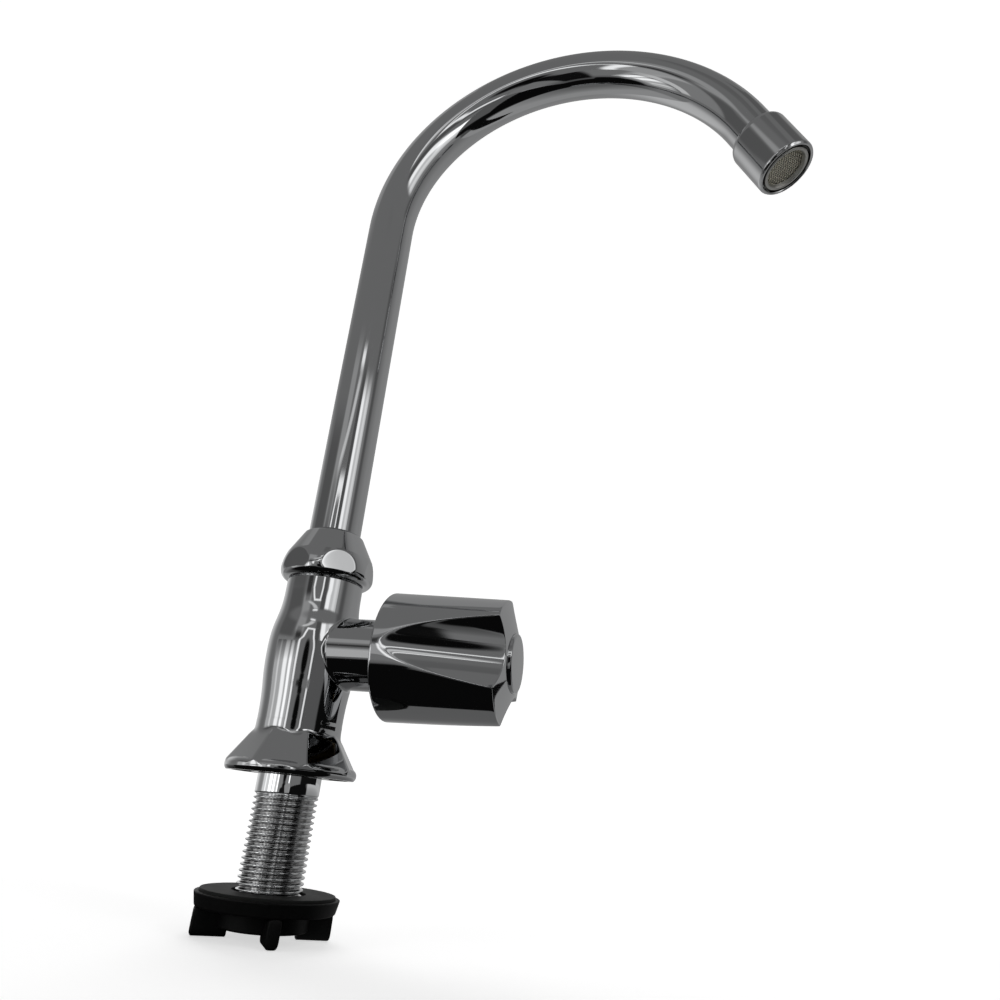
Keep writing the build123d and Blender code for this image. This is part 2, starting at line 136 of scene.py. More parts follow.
class Finish(Nodes):
    """A material with its principled shader. Constant values go straight on the shader."""

    def __init__(self, name, **constants):
        self.material = bpy.data.materials.new(name)
        self.material.use_nodes = True
        super().__init__(self.material.node_tree)
        self.shader = self.tree.nodes["Principled BSDF"]
        for socket, value in constants.items():
            self.shader.inputs[socket.replace("_", " ")].default_value = value
        self.where = self.add("ShaderNodeTexCoord", {}, {}, "Object")

    def paint(self, **links):
        """Feeds the shader's sockets with what varies over the surface."""
        for socket, value in links.items():
            self.feed(self.shader.inputs[socket.replace("_", " ")], value)

    def grain(self, scale, detail=3.0):
        """Cloudy noise between 0 and 1, in grains to the metre."""
        inputs = {"Vector": self.where, "Scale": scale, "Detail": detail}
        return self.add("ShaderNodeTexNoise", {}, inputs, "Fac")

    def between(self, share, dark, light):
        """A colour between two, by a share of 0 to 1. A Mix node's colours go into its sockets
        6 and 7 and come out of its socket 2."""
        inputs = {"Factor": share, 6: (*dark, 1.0), 7: (*light, 1.0)}
        return self.add("ShaderNodeMix", {"data_type": "RGBA"}, inputs, 2)

    def relief(self, height, distance):
        """Small bumps, with the height as a share of a distance in metres."""
        inputs = {"Height": height, "Distance": distance, "Strength": 1.0}
        return self.add("ShaderNodeBump", {}, inputs, "Normal")


paper = Finish("white_paper", Roughness=0.9)
paper.paint(Base_Color=paper.between(paper.grain(paper_clouds), paper_grey, paper_white))
seen = paper.add("ShaderNodeLightPath", {}, {}, "Is Camera Ray")
seen = seen.larger(paper.add("ShaderNodeLightPath", {}, {}, "Is Glossy Ray"))
seen = seen.larger(paper.add("ShaderNodeLightPath", {}, {}, "Is Transmission Ray"))
from_tap = paper.add("ShaderNodeVectorMath", {"operation": "LENGTH"}, {0: paper.where}, "Value")
fade = paper.add("ShaderNodeMapRange", {}, {
    "Value": from_tap,
    "From Min": near_distance,
    "From Max": far_distance,
    "To Min": glow_near,
    "To Max": glow_far,
})
glow = paper.add("ShaderNodeEmission", {}, {"Color": (1, 1, 1, 1), "Strength": seen * fade})
both = paper.add("ShaderNodeAddShader", {}, {0: Value(paper, paper.shader.outputs[0]), 1: glow})
paper.feed(paper.tree.nodes["Material Output"].inputs["Surface"], both)

forward = np.array([camera_ahead.x, camera_ahead.y, 0.0])
forward = forward / np.linalg.norm(forward)
sideways = np.array([-forward[1], forward[0], 0.0])
bend = np.radians(np.linspace(0, 90, 16))
sweep_along = wall_distance - sweep_radius * (1 - np.sin(bend))
sweep_rise = sweep_radius * (1 - np.cos(bend))
along = np.concatenate([[paper_start, flat_point], sweep_along, [wall_distance]])
rise = floor_height + np.concatenate([[0.0, 0.0], sweep_rise, [wall_height]])
centre_line = along[:, None] * forward + rise[:, None] * np.array([0.0, 0.0, 1.0])
aside = half_width * sideways
corners = np.concatenate([centre_line - aside, centre_line + aside])
left = np.arange(len(along) - 1)
right = left + len(along)
panels = np.stack([left, left + 1, right + 1, right], -1)
backdrop = bpy.data.objects.new("backdrop", bpy.data.meshes.new("backdrop"))
backdrop.data.from_pydata(corners.tolist(), [], panels.tolist())
backdrop.data.materials.append(paper.material)
bpy.context.scene.collection.objects.link(backdrop)


# Lamps
# A grey room, white only to the camera, gives an even light. One large soft lamp hangs over the
# back and two softer ones stand beside the camera. The chrome mirrors none of them.
room_grey = (0.19, 0.19, 0.19, 1.0)
room_white = (1.0, 1.0, 1.0, 1.0)
lamp_target = Vector((0, 0, 0.06))

world = bpy.data.worlds.new("room")
world.use_nodes = True
surroundings = Nodes(world.node_tree)
lighting = surroundings.add("ShaderNodeBackground", {}, {"Color": room_grey})
background = surroundings.add("ShaderNodeBackground", {}, {"Color": room_white})
looked_at = surroundings.add("ShaderNodeLightPath", {}, {}, "Is Camera Ray")
mixed = surroundings.add("ShaderNodeMixShader", {}, {0: looked_at, 1: lighting, 2: background})
surroundings.feed(world.node_tree.nodes["World Output"].inputs["Surface"], mixed)
bpy.context.scene.world = world


def hang_lamp(name, azimuth, distance, height, size, brightness):
    """A square lamp that faces the tap's axis. Brightness is what the camera would see of it,
    and its power is that times pi times its area."""
    lamp = bpy.data.lights.new(name, "AREA")
    lamp.size = size
    lamp.energy = brightness * np.pi * size**2
    spot = bpy.data.objects.new(name, lamp)
    bpy.context.scene.collection.objects.link(spot)
    angle = np.radians(azimuth)
    spot.location = (distance * np.cos(angle), distance * np.sin(angle), height)
    aim = lamp_target - spot.location
    spot.rotation_euler = aim.to_track_quat("-Z", "Y").to_euler()
    spot.visible_camera = False
    spot.visible_glossy = False


hang_lamp("back_lamp", azimuth=30, distance=0.8, height=1.2, size=0.9, brightness=2.2)
hang_lamp("left_lamp", azimuth=150, distance=0.8, height=0.35, size=0.35, brightness=1.5)
hang_lamp("right_lamp", azimuth=250, distance=0.9, height=0.75, size=0.4, brightness=1.8)


# Mirrored room
# The round grey screen that stands about the tap, for its chrome to mirror: a window to the
# camera's right, a lighter wall low on its left, a lit door frame with the camera in it, and
# black cloth on the table. Only mirrored rays see it.
screen_radius = 1.4
screen_top = 4.0
screen_grey = 0.21
darkest = 0.004
everywhere = (-1, 9, 0.1)
window_heights = (-1, 0.90, 0.1)

# Each patch is a brightness, then the azimuths where it starts and ends and how soft they are,
# and the same of its heights in metres, or on the table of its distances from the tap.
screen_patches = [
    (0.12, -70, 70, 50, *everywhere),
    (0.12, 290, 430, 50, *everywhere),
    (0.35, 20, 72, 30, -1, 0.7, 0.4),
    (0.15, 60, 102, 6, 1.5, 9, 0.6),
    (0.09, 100, 150, 6, -1, 0.38, 0.06),
    (-0.08, 98, 146, 14, 0.36, 0.80, 0.15),
    (0.25, 146, 166, 6, -1, 0.30, 0.06),
    (-0.16, 154, 168, 6, 0.36, 0.66, 0.1),
    (0.20, 149, 172, 8, 0.52, 1.0, 0.15),
    (1.20, 183, 197, 6, 0.95, 1.0, 0.04),
    (-0.05, 182, 202, 8, 1.5, 2.6, 0.4),
    (-0.10, 203, 214, 3, -1, 0.95, 0.1),
    (-0.07, 225, 285, 10, 1.8, 9, 0.5),
    (0.60, 226, 238, 5, -1, 0.30, 0.2),
    (0.25, 237, 245, 4, *window_heights),
    (0.12, 250, 262, 10, *window_heights),
    (-0.09, 258, 276, 12, 0.2, 1.3, 0.3),
]
window_brightness = 0.62
window_left_low, window_left_high, window_right = 228, 216, 250
lean_top, lean_height = 0.5, 0.6         # of the window's left edge
window_blur = 3
pane_brightness, pane_width = 0.65, 12   # of the pane next to it
pane_inset, pane_blur = 1, 4
door_brightness = 1.2
left_post = [(-1, 168), (0.34, 168), (0.41, 176), (0.57, 181), (0.66, 184)]
right_post = [(-1, 208), (0.25, 207), (0.41, 202), (0.66, 199)]
left_width, right_width, post_blur = 4.5, 4.0, 0.02
side_blur = 0.6              # of a line's sides, as a share of its width
lintel = (1.0, 181, 202, 4, 0.615, 0.665, 0.03)
ceiling_brightness = 0.6
ceiling_light = [(0.69, 170), (0.75, 178), (0.82, 186), (0.93, 192)]
ceiling_width, ceiling_blur = 12, 0.08
oval_azimuth, oval_half_width = 190.0, 6.0
oval_height, oval_half_height = 0.14, 0.20
oval_edge = 1.8              # squared distance from its middle where the dimming starts
oval_depth = 0.99


def within(value, low, high, soft):
    """One between two limits and zero outside. At each limit it follows 3 s^2 - 2 s^3 over a
    width, where s runs from 0 to 1."""
    up = np.clip((value - low) / soft + 0.5, 0, 1)
    down = np.clip((high - value) / soft + 0.5, 0, 1)
    return up**2 * (3 - 2 * up) * down**2 * (3 - 2 * down)


def patched(patches, azimuth, level):
    """The sum of each patch's brightness where it lies, by azimuth and by height or radius."""
    total = 0.0
    for brightness, start, end, soft, low, high, level_soft in patches:
        across = within(azimuth, start, end, soft)
        total = total + brightness * across * within(level, low, high, level_soft)
    return total


def lit_line(azimuth, height, path, width, soft):
    """A line that leans: its azimuth at each height runs straight between a path's points."""
    heights, azimuths = np.array(path).T
    middle = np.interp(height, heights, azimuths)
    share = within(height, heights[0], heights[-1], soft)
    low, high = middle - width / 2, middle + width / 2
    return within(azimuth, low, high, width * side_blur) * share


def screen_glow(azimuth, height):
    """How bright the screen is at an azimuth of 0 to 360 degrees and a height in metres: its
    grey and patches, the window, the door frame and the light over it, all dimmed towards the
    middle of the camera's dark oval."""
    glow = screen_grey + patched(screen_patches, azimuth, height)
    lean = np.clip((lean_top - height) / lean_height, 0, 1)
    left = window_left_high + (window_left_low - window_left_high) * lean
    window = window_brightness * within(azimuth, left, window_right, window_blur)
    pane = within(azimuth, left + pane_inset, left + pane_width, pane_blur)
    window = window + pane_brightness * pane
    glow = glow + window * within(height, *window_heights)
    door = lit_line(azimuth, height, left_post, left_width, post_blur)
    door = door + lit_line(azimuth, height, right_post, right_width, post_blur)
    door = np.maximum(door, patched([lintel], azimuth, height))
    glow = glow + door_brightness * door
    over_door = lit_line(azimuth, height, ceiling_light, ceiling_width, ceiling_blur)
    glow = glow + ceiling_brightness * over_door
    oval = ((azimuth - oval_azimuth) / oval_half_width) ** 2
    oval = oval + ((height - oval_height) / oval_half_height) ** 2
    return np.maximum(glow * (1 - oval_depth * np.clip(oval_edge - oval, 0, 1)), darkest)


table_radius = 0.85
table_blur = 0.05
table_grey = 0.16
table_lift = 0.24            # of the grey, from the tap outwards
lift_start, lift_length = 0.08, 0.25
table_black = 0.006
table_patches = [
    (0.35, 106, 158, 8, 0.28, 9, 0.04),
    (-0.15, 60, 104, 8, *everywhere),
    (-0.16, 150, 212, 6, *everywhere),
    (-0.30, 214, 276, 4, *everywhere),
]
cloth_azimuths = (94, 276, 6)
cloth_radius = 0.22
cloth_blur = 0.015
inlet_azimuths = (176, 212, 3)           # where the lane cuts into the cloth
inlet_depth = 0.055
tongue_azimuths = (214, 270, 4)          # where the cloth reaches out to the right
tongue_length = 0.45
lane_azimuths = (178, 212, 4)
lane_radii = (0.215, 9, 0.02)
lane_offset, lane_slope = 0.046, 0.19
lane_blur = 0.006
lane_depth = 0.97
fade_start = 0.7             # of a board's height


def table_glow(azimuth, radius):
    """The table: black cloth on the camera's side, a black lane from it to the screen, grey to
    both sides of that, light grey to the left and behind, and far out the foot of the screen."""
    ahead = radius * np.cos(np.radians(azimuth))
    aside = radius * np.sin(np.radians(azimuth))
    edge = cloth_radius - inlet_depth * within(azimuth, *inlet_azimuths)
    edge = edge + tongue_length * within(azimuth, *tongue_azimuths)
    cloth = 1 - np.clip((radius - edge) / cloth_blur, 0, 1)
    cloth = cloth * within(azimuth, *cloth_azimuths)
    lane = np.clip((aside + lane_offset - lane_slope * ahead) / lane_blur, 0, 1)
    lane = lane * within(azimuth, *lane_azimuths) * within(radius, *lane_radii)
    grey = table_grey + table_lift * np.clip((radius - lift_start) / lift_length, 0, 1)
    grey = grey + patched(table_patches, azimuth, radius)
    grey = np.maximum(grey * (1 - lane_depth * lane), table_black)
    near = grey * (1 - cloth) + darkest * cloth
    far = np.clip((radius - table_radius) / table_blur, 0, 1)
    return near * (1 - far) + screen_glow(azimuth, 0 * radius) * far


def strip_of_room(radius, height, glow, azimuth):
    """Rows of points about the tap's axis, with their glow."""
    angle = np.radians(azimuth)
    points = np.broadcast_arrays(radius * np.cos(angle), radius * np.sin(angle), height)
    points = np.stack(points, -1)
    return points, np.broadcast_to(glow, points.shape[:2])


def upright_board(radius, top, ground, stripes, azimuth, top_share):
    """A board that stands on the table, with upright stripes. Its glow falls evenly over its
    highest part to a share of what it is lower down."""
    share = np.array([[0.0], [fade_start], [(1 + fade_start) / 2], [1.0]])
    height = floor_height + share * (top - floor_height)
    fade = 1 - (1 - top_share) * np.maximum(share - fade_start, 0) / (1 - fade_start)
    glow = ground + sum(bright * within(azimuth, *limits) for bright, *limits in stripes)
    return strip_of_room(radius, height, glow * fade, azimuth)


dark_radius = 0.45
dark_azimuths = np.linspace(212, 318, 107)
dark_low, dark_step = 0.055, 0.09
dark_top = dark_low + dark_step * within(dark_azimuths, 205, 262, 6)
dark_ground = 0.005
dark_stripes = [(0.13, 210, 247, 5)]
ribbed_radius = 0.30
ribbed_azimuths = np.linspace(106, 164, 117)
ribbed_top = 0.10
ribbed_ground = 0.62
ribbed_top_share = 0.2105
ribs = [(0.40, 118, 123, 4), (0.90, 135, 146, 5), (1.10, 151, 158, 4)]
axis_gap = 0.001
cloth_lift = 0.0001
detailed_top, plain_foot = 1.4, 1.6      # of the screen
detailed_radius, plain_radius = 0.2, 0.21    # of the table

azimuths = np.linspace(0, 360, 481)
heights = np.concatenate([
    np.linspace(floor_height, detailed_top, 100),
    np.linspace(plain_foot, screen_top, 7),
])[:, None]
radii = np.concatenate([
    np.linspace(axis_gap, detailed_radius, 60),
    np.linspace(plain_radius, screen_radius, 40),
])[:, None]
table_height = floor_height + cloth_lift
roof_radii = np.array([[screen_radius], [axis_gap]])
strips = [
    strip_of_room(screen_radius, heights, screen_glow(azimuths, heights), azimuths),
    strip_of_room(roof_radii, screen_top, screen_grey, azimuths),
    strip_of_room(radii, table_height, table_glow(azimuths, radii), azimuths),
    upright_board(dark_radius, dark_top, dark_ground, dark_stripes, dark_azimuths, 1.0),
    upright_board(
        ribbed_radius, ribbed_top, ribbed_ground, ribs, ribbed_azimuths, ribbed_top_share
    ),
]
points, glows, faces, first = [], [], [], 0
for grid, brightness in strips:
    rows, columns = grid.shape[:2]
    index = first + np.arange(rows * columns).reshape(rows, columns)
    quads = np.stack([index[:-1, :-1], index[:-1, 1:], index[1:, 1:], index[1:, :-1]], -1)
    points.append(grid.reshape(-1, 3))
    glows.append(brightness.reshape(-1))
    faces.append(quads.reshape(-1, 4))
    first += rows * columns
screen = bpy.data.meshes.new("mirrored_room")
screen.from_pydata(np.concatenate(points).tolist(), [], np.concatenate(faces).tolist())
written = screen.attributes.new("glow", "FLOAT", "POINT")
written.data.foreach_set("value", np.concatenate(glows).astype(np.float32))
lit = Finish("screen_light", Base_Color=(0, 0, 0, 1), Specular_IOR_Level=0.0, Emission_Strength=1.0)
lit.paint(Emission_Color=lit.add("ShaderNodeAttribute", {"attribute_name": "glow"}, {}, "Color"))
lit.material.cycles.emission_sampling = "NONE"
screen.materials.append(lit.material)
room = bpy.data.objects.new("mirrored_room", screen)
room.visible_camera = False
room.visible_shadow = False
room.visible_diffuse = False
room.visible_transmission = False
bpy.context.scene.collection.objects.link(room)


# Threaded shank
# A brass tube with a plain collar and a half-inch pipe thread, chromed with the rest. It is
# screwed into the body from below. Its colour is painted darker in the thread's roots, as painted
# shade, and lighter on its crests, as a painted highlight.
mm = 0.001
round_steps = 96
weld_distance = 1e-6         # metres
pitch = 1.814
crest_radius = 10.4775
root_radius = 9.3155
core_radius = 9.8965
shank_bore = 7.0
shank_foot = -46.0
thread_top = -5.5
shank_top = 12.0
runout_length = 1.6
crest_stretch = 1.25         # of the thread's wave, before its tips are clipped
rows_a_turn = 16
# Painted shade in the thread's roots and a painted highlight on its crests: the colour runs between
# them by depth.
root_painted_shade = (0.52, 0.52, 0.52)
crest_painted_highlight = (0.95, 0.96, 0.97)
root_roughness = 0.12
crest_roughness = 0.03
chrome_dark = (0.965, 0.975, 0.985)
chrome_light = (0.995, 1.005, 1.02)
chrome_clouds = 0.02         # of its roughness


def around(columns):
    """Azimuths of a row of points that closes on itself."""
    return np.linspace(0, 2 * np.pi, columns, endpoint=False)


def polar(radius, height, azimuth):
    """Points at a radius and height for each azimuth, about Z: x = r cos, y = r sin."""
    radius, height = np.broadcast_arrays(radius, height)
    radius, height = radius + 0 * azimuth, height + 0 * azimuth
    return np.stack([radius * np.cos(azimuth), radius * np.sin(azimuth), height], -1)


def softened(corners, ease, steps=6, closed=False):
    """Straight lines through corners, with each corner replaced by a parabola. It leaves its two
    lines at the distance ease from the corner, or at 0.4 of the shorter line where that is less,
    and one more point lies on each line 1.2 times as far out."""
    corners = np.array(corners, float)
    ease = np.broadcast_to(ease, len(corners))
    back = np.roll(corners, 1, 0) - corners
    ahead = np.roll(corners, -1, 0) - corners
    back_length = np.linalg.norm(back, axis=1)
    ahead_length = np.linalg.norm(ahead, axis=1)
    reach = np.minimum(ease, 0.4 * np.minimum(back_length, ahead_length))
    back_step = back / back_length[:, None] * reach[:, None]
    ahead_step = ahead / ahead_length[:, None] * reach[:, None]
    share = np.linspace(0, 1, steps)[:, None, None]
    curve = (1 - share) ** 2 * (corners + back_step) + 2 * share * (1 - share) * corners
    curve = curve + share**2 * (corners + ahead_step)
    before, after = corners + 1.2 * back_step, corners + 1.2 * ahead_step
    points = np.concatenate([before[None], curve, after[None]]).transpose(1, 0, 2)
    if closed:
        points = points.reshape(-1, 2)
        return np.concatenate([points, points[:1]])
    return np.concatenate([corners[:1], points[1:-1].reshape(-1, 2), corners[-1:]])


def spun(profile, columns=round_steps):
    """A half outline of radius and height carried round Z."""
    return polar(profile[:, :1], profile[:, 1:], around(columns))


def make_piece(name, grids, finish, body, nodes, sharp_angle=38.0):
    """One mesh of several point grids in millimetres. Each row of a grid closes on itself, and
    points that fall together at poles and seams are merged. Edges over the angle stay sharp."""
    points, faces, first = [], [], 0
    for grid in grids:
        rows, columns = grid.shape[:2]
        index = first + np.arange(rows * columns).reshape(rows, columns)
        low, high = index[:-1], index[1:]
        quads = np.stack([low, np.roll(low, -1, 1), np.roll(high, -1, 1), high], -1)
        points.append(grid.reshape(-1, 3) * mm)
        faces.append(quads.reshape(-1, 4))
        first += rows * columns
    mesh = bpy.data.meshes.new(name)
    mesh.from_pydata(np.concatenate(points).tolist(), [], np.concatenate(faces).tolist())
    work = bmesh.new()
    work.from_mesh(mesh)
    bmesh.ops.remove_doubles(work, verts=work.verts, dist=weld_distance)
    bmesh.ops.recalc_face_normals(work, faces=work.faces)
    work.to_mesh(mesh)
    work.free()
    mesh.materials.append(finish.material)
    mesh.shade_smooth()
    mesh.set_sharp_from_angle(angle=np.radians(sharp_angle))
    piece = bpy.data.objects.new(name, mesh)
    bpy.context.scene.collection.objects.link(piece)
    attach(piece, body)
    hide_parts(*nodes)


def make_chrome(name, shade, roughness):
    """Bright chrome plate: nearly even, with faint clouds in its colour and its polish."""
    finish = Finish(name, Metallic=1.0)
    dark = tuple(shade * part for part in chrome_dark)
    light = tuple(shade * part for part in chrome_light)
    clouds = finish.grain(scale=25.0, detail=6.0)
    finish.paint(Base_Color=finish.between(finish.grain(scale=60.0), dark, light))
    finish.paint(Roughness=roughness + chrome_clouds * clouds)
    return finish


def thread(height, azimuth):
    """The thread's radius: a right-handed helix whose flanks are straight and whose crests and
    roots are rounded, r = middle + half depth x sin of a clipped triangle wave."""
    turn = (height / pitch - azimuth / (2 * np.pi)) % 1.0
    wave = 1 - 4 * np.abs(turn - 0.5)
    middle, half = (crest_radius + root_radius) / 2, (crest_radius - root_radius) / 2
    return middle + half * np.sin(np.pi / 2 * np.clip(crest_stretch * wave, -1, 1))


azimuth = around(round_steps)
thread_rows = int((thread_top - shank_foot) / pitch * rows_a_turn)
height = np.linspace(shank_foot, thread_top, thread_rows)[:, None]
runout = np.clip((thread_top - height) / runout_length, 0, 1)
lead_in = root_radius + (height - shank_foot)
cut = crest_radius - (crest_radius - thread(height, azimuth)) * runout
shank_skin = polar(np.minimum(cut, lead_in), height, azimuth)
shank_head = spun(softened([
    (crest_radius, thread_top),
    (crest_radius, 0.0),
    (core_radius, 0.0),
    (core_radius, shank_top),
    (shank_bore, shank_top),
    (shank_bore, shank_foot),
    (root_radius, shank_foot),
], ease=0.15))
threaded_chrome = make_chrome("thread_chrome", 0.55, 0.07)
x = threaded_chrome.add("ShaderNodeSeparateXYZ", {}, {0: threaded_chrome.where}, "X")
y = threaded_chrome.add("ShaderNodeSeparateXYZ", {}, {0: threaded_chrome.where}, "Y")
depth = threaded_chrome.add("ShaderNodeMapRange", {}, {
    "Value": (x * x + y * y) ** 0.5,
    "From Min": root_radius * mm,
    "From Max": crest_radius * mm,
})
# Painted shade darkens the roots and a painted highlight lightens the crests; the roughness rises
# towards the roots.
threaded_chrome.paint(
    Base_Color=threaded_chrome.between(depth, root_painted_shade, crest_painted_highlight),
    Roughness=root_roughness - (root_roughness - crest_roughness) * depth,
)
shank = [np.concatenate([shank_skin, shank_head])]
make_piece("shank", shank, threaded_chrome, "tap_body", ["threaded_shank"])


# Body
# A brass casting, turned, polished and chromed. A rolled round foot carries eight flat facets
# that rise to a waist, the column swells to a belly, and the boss for the valve leaves it.
base_radius = 21.7
roll_radius = 2.2
roll_height = 1.7
roll_top = 4.4
flare_sides = 8
flare_azimuth = 38.7
flare_low, flare_low_radius = 3.9, 21.4
flare_high, flare_high_radius = 12.9, 15.2
fade_below, fade_length = 1.6, 3.0       # where the facets fade into the round waist
waist_radius = 14.2
waist_blend = 0.7
rim_allowance, rim_blend = 0.02, 0.08
hip = (14.3, 16.5)
belly = (15.7, 41.3)
neck = (13.5, 61.5)
shoulder_height = 65.8
body_rim = 74.0
rim_radius = 12.2
socket_radius = 10.6
socket_floor = 52.5
thread_socket = 9.95
collar_socket = 10.53
collar_depth = 0.8
waterway_top = 19.0
seal_inner, seal_outer, seal_depth = 13.0, 19.1, 2.0
foot_flat = 20.88
boss_height = 41.3
boss_radius = 12.3
boss_reach = 29.5
boss_fillet = 1.1
boss_wall = 20.0             # a point on its straight side
fillet_sink, hidden_depth = 0.02, 0.5    # under the column's skin
headgear_socket, headgear_seat = 10.0, 13.5
chamber_radius, chamber_floor = 9.0, 4.0
seat_outer, seat_bore = 6.0, 4.5
seat_face, seat_depth = 5.0, 1.5
body_steps = 288
boss_steps = 160


def softer(one, other, width, sign):
    """The smaller (sign -1) or larger (sign 1) of two radii, rounded over about a width: half of
    their sum, less or plus the root of their difference squared plus the width squared."""
    return (one + other + sign * np.sqrt((one - other) ** 2 + width**2)) / 2


def faceted(corner_radius, sides, first_corner, azimuth, sharpness=90.0):
    """The radius of a prism with flat sides: 1/r is the largest of cos(azimuth - side)/inner
    radius, taken as a high power mean so that the corners are slightly rounded."""
    inner = corner_radius * np.cos(np.pi / sides)
    total = 0
    for side in range(sides):
        middle = np.radians(first_corner + (side + 0.5) * 360 / sides)
        total = total + np.maximum(np.cos(azimuth - middle), 0) ** sharpness
    return inner / total ** (1 / sharpness)


def eased(start, end, steps):
    """Radius and height between two points, leaving and arriving parallel to the axis. For s
    from 0 to 1 the radius goes 3 s^2 - 2 s^3 of the way and the height 1.5 s - 1.5 s^2 + s^3."""
    share = np.linspace(0, 1, steps)
    rise = 1.5 * share - 1.5 * share**2 + share**3
    swell = 3 * share**2 - 2 * share**3
    (r0, z0), (r1, z1) = start, end
    return np.stack([r0 + (r1 - r0) * swell, z0 + (z1 - z0) * rise], -1)


azimuth = around(body_steps)
height = np.concatenate([
    np.linspace(0, roll_top, 44),
    np.linspace(roll_top + 0.1, hip[1], 72),
])[:, None]
above_roll = np.clip(height - roll_height, -roll_height, roll_radius)
rolled = base_radius - roll_radius + np.sqrt(np.maximum(roll_radius**2 - above_roll**2, 0))
rolled = np.where(height > roll_height + roll_radius, 0, rolled)
slope = (flare_low_radius - flare_high_radius) / (flare_high - flare_low)
flare_corner = flare_high_radius + slope * (flare_high - height)
flare = faceted(flare_corner, flare_sides, flare_azimuth, azimuth)
flare = np.where(height < roll_height, 0, flare)
roundness = np.clip((height - flare_high + fade_below) / fade_length, 0, 1) ** 2
flare = flare + (flare.mean(1, keepdims=True) - flare) * roundness
column = np.interp(height, [0, flare_high, hip[1]], [waist_radius, waist_radius, hip[0]])
foot_skin = softer(np.maximum(rolled, flare), column, waist_blend, 1)
foot_skin = softer(foot_skin, base_radius + rim_allowance, rim_blend, -1)
swell = np.concatenate([eased(hip, belly, 60)[1:], eased(belly, neck, 50)[1:]])
underside = softened([
    (0.0, waterway_top),
    (shank_bore, waterway_top),
    (shank_bore, shank_top),
    (thread_socket, shank_top),
    (thread_socket, collar_depth),
    (collar_socket, collar_depth),
    (collar_socket, 0.0),
    (seal_inner, 0.0),
    (seal_inner, seal_depth),
    (seal_outer, seal_depth),
    (seal_outer, 0.0),
    (foot_flat, 0.0),
], 0.08, 3)
top = softened([
    neck,
    (neck[0], shoulder_height),
    (rim_radius, shoulder_height),
    (rim_radius, body_rim),
    (socket_radius, body_rim),
    (socket_radius, socket_floor),
    (0.0, socket_floor),
], 0.25, 4)
body_grid = np.concatenate([
    spun(underside, body_steps),
    polar(foot_skin, height, azimuth),
    spun(swell, body_steps),
    spun(top[1:], body_steps),
])


def on_boss(points):
    """From the boss's own axes, with Z as the distance from the body's axis, to the tap's."""
    x, y, z = points[..., 0], points[..., 1], points[..., 2]
    return np.stack([x, -z, boss_height + y], -1)


def skin_behind(radius, angle):
    """Distance of the column's skin from its axis, seen along the boss at a radius from it: the
    root of the column's radius squared less the sideways distance squared."""
    beside = np.interp(boss_height + radius * np.sin(angle), swell[:, 1], swell[:, 0])
    return np.sqrt(beside**2 - (radius * np.cos(angle)) ** 2)


angle = around(boss_steps)
start = skin_behind(boss_radius + boss_fillet, angle)
corner = skin_behind(boss_radius, angle)
share = np.linspace(0, 1, 9)[:, None]
fillet_radius = boss_radius + boss_fillet * (1 - share) ** 2
fillet_reach = (1 - share) ** 2 * start + 2 * share * (1 - share) * corner
fillet_reach = fillet_reach + share**2 * (corner + boss_fillet)
fillet = polar(fillet_radius, fillet_reach - fillet_sink, angle)
below_skin = polar(boss_radius + boss_fillet + 0 * angle, start - hidden_depth, angle)[None]
boss_start = polar(np.array([[0.0], [boss_radius]]), np.zeros((2, 1)), angle)
boss_end = softened([
    (boss_radius, boss_wall),
    (boss_radius, boss_reach),
    (headgear_socket, boss_reach),
    (headgear_socket, headgear_seat),
    (chamber_radius, headgear_seat),
    (chamber_radius, chamber_floor),
    (seat_outer, chamber_floor),
    (seat_outer, seat_face),
    (seat_bore, seat_face),
    (seat_bore, seat_depth),
    (0.0, seat_depth),
], 0.25, 4)
boss_rows = [boss_start, below_skin, fillet, spun(boss_end[1:], boss_steps)]
boss_grid = on_boss(np.concatenate(boss_rows))
chrome = make_chrome("chrome", 0.57, 0.035)
make_piece("body_casting", [body_grid, boss_grid], chrome, "tap_body", ["body"])


# Base seal and headgear
# A black rubber ring fills the groove under the foot. The headgear is machined brass, screwed
# into the boss on a rubber gasket of its own.
rubber_dark = (0.022, 0.022, 0.022)
rubber_bloom = (0.044, 0.044, 0.0418)
brass_dark = (0.60, 0.43, 0.19)
brass_light = (0.72, 0.55, 0.28)
rubber_roughness, bloom_roughness = 0.6, 0.2
metal_clouds = 0.12          # of its roughness
tool_rings = 900.0


def make_rubber(name, dark, light):
    """Moulded rubber: matt, with a fine bloom on it."""
    finish = Finish(name, Specular_IOR_Level=0.35)
    bloom = finish.grain(scale=500.0, detail=4.0)
    finish.paint(Base_Color=finish.between(bloom, dark, light))
    finish.paint(Roughness=rubber_roughness + bloom_roughness * bloom)
    finish.paint(Normal=finish.relief(finish.grain(scale=4000.0), distance=0.00003))
    return finish


def make_metal(name, dark, light, roughness, mark_depth=0.0):
    """Machined metal: cloudy colour, and fine rings left by the tool, deep as given in metres."""
    finish = Finish(name, Metallic=1.0)
    cloud = finish.grain(scale=120.0, detail=5.0)
    settings = {"wave_type": "RINGS", "rings_direction": "SPHERICAL"}
    inputs = {"Vector": finish.where, "Scale": tool_rings}
    rings = finish.add("ShaderNodeTexWave", settings, inputs, "Fac")
    finish.paint(Base_Color=finish.between(cloud, dark, light))
    finish.paint(Roughness=roughness + metal_clouds * cloud)
    finish.paint(Normal=finish.relief(rings, mark_depth))
    return finish


def dress(finish, *nodes):
    """Gives CAD nodes whose shape is right their material."""
    for node in nodes:
        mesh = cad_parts[node].data
        mesh.materials.clear()
        mesh.materials.append(finish.material)


rubber = make_rubber("black_rubber", rubber_dark, rubber_bloom)
brass = make_metal("machined_brass", brass_dark, brass_light, 0.25, 0.000003)
dress(rubber, "base_seal", "headgear_gasket")
dress(brass, "headgear")


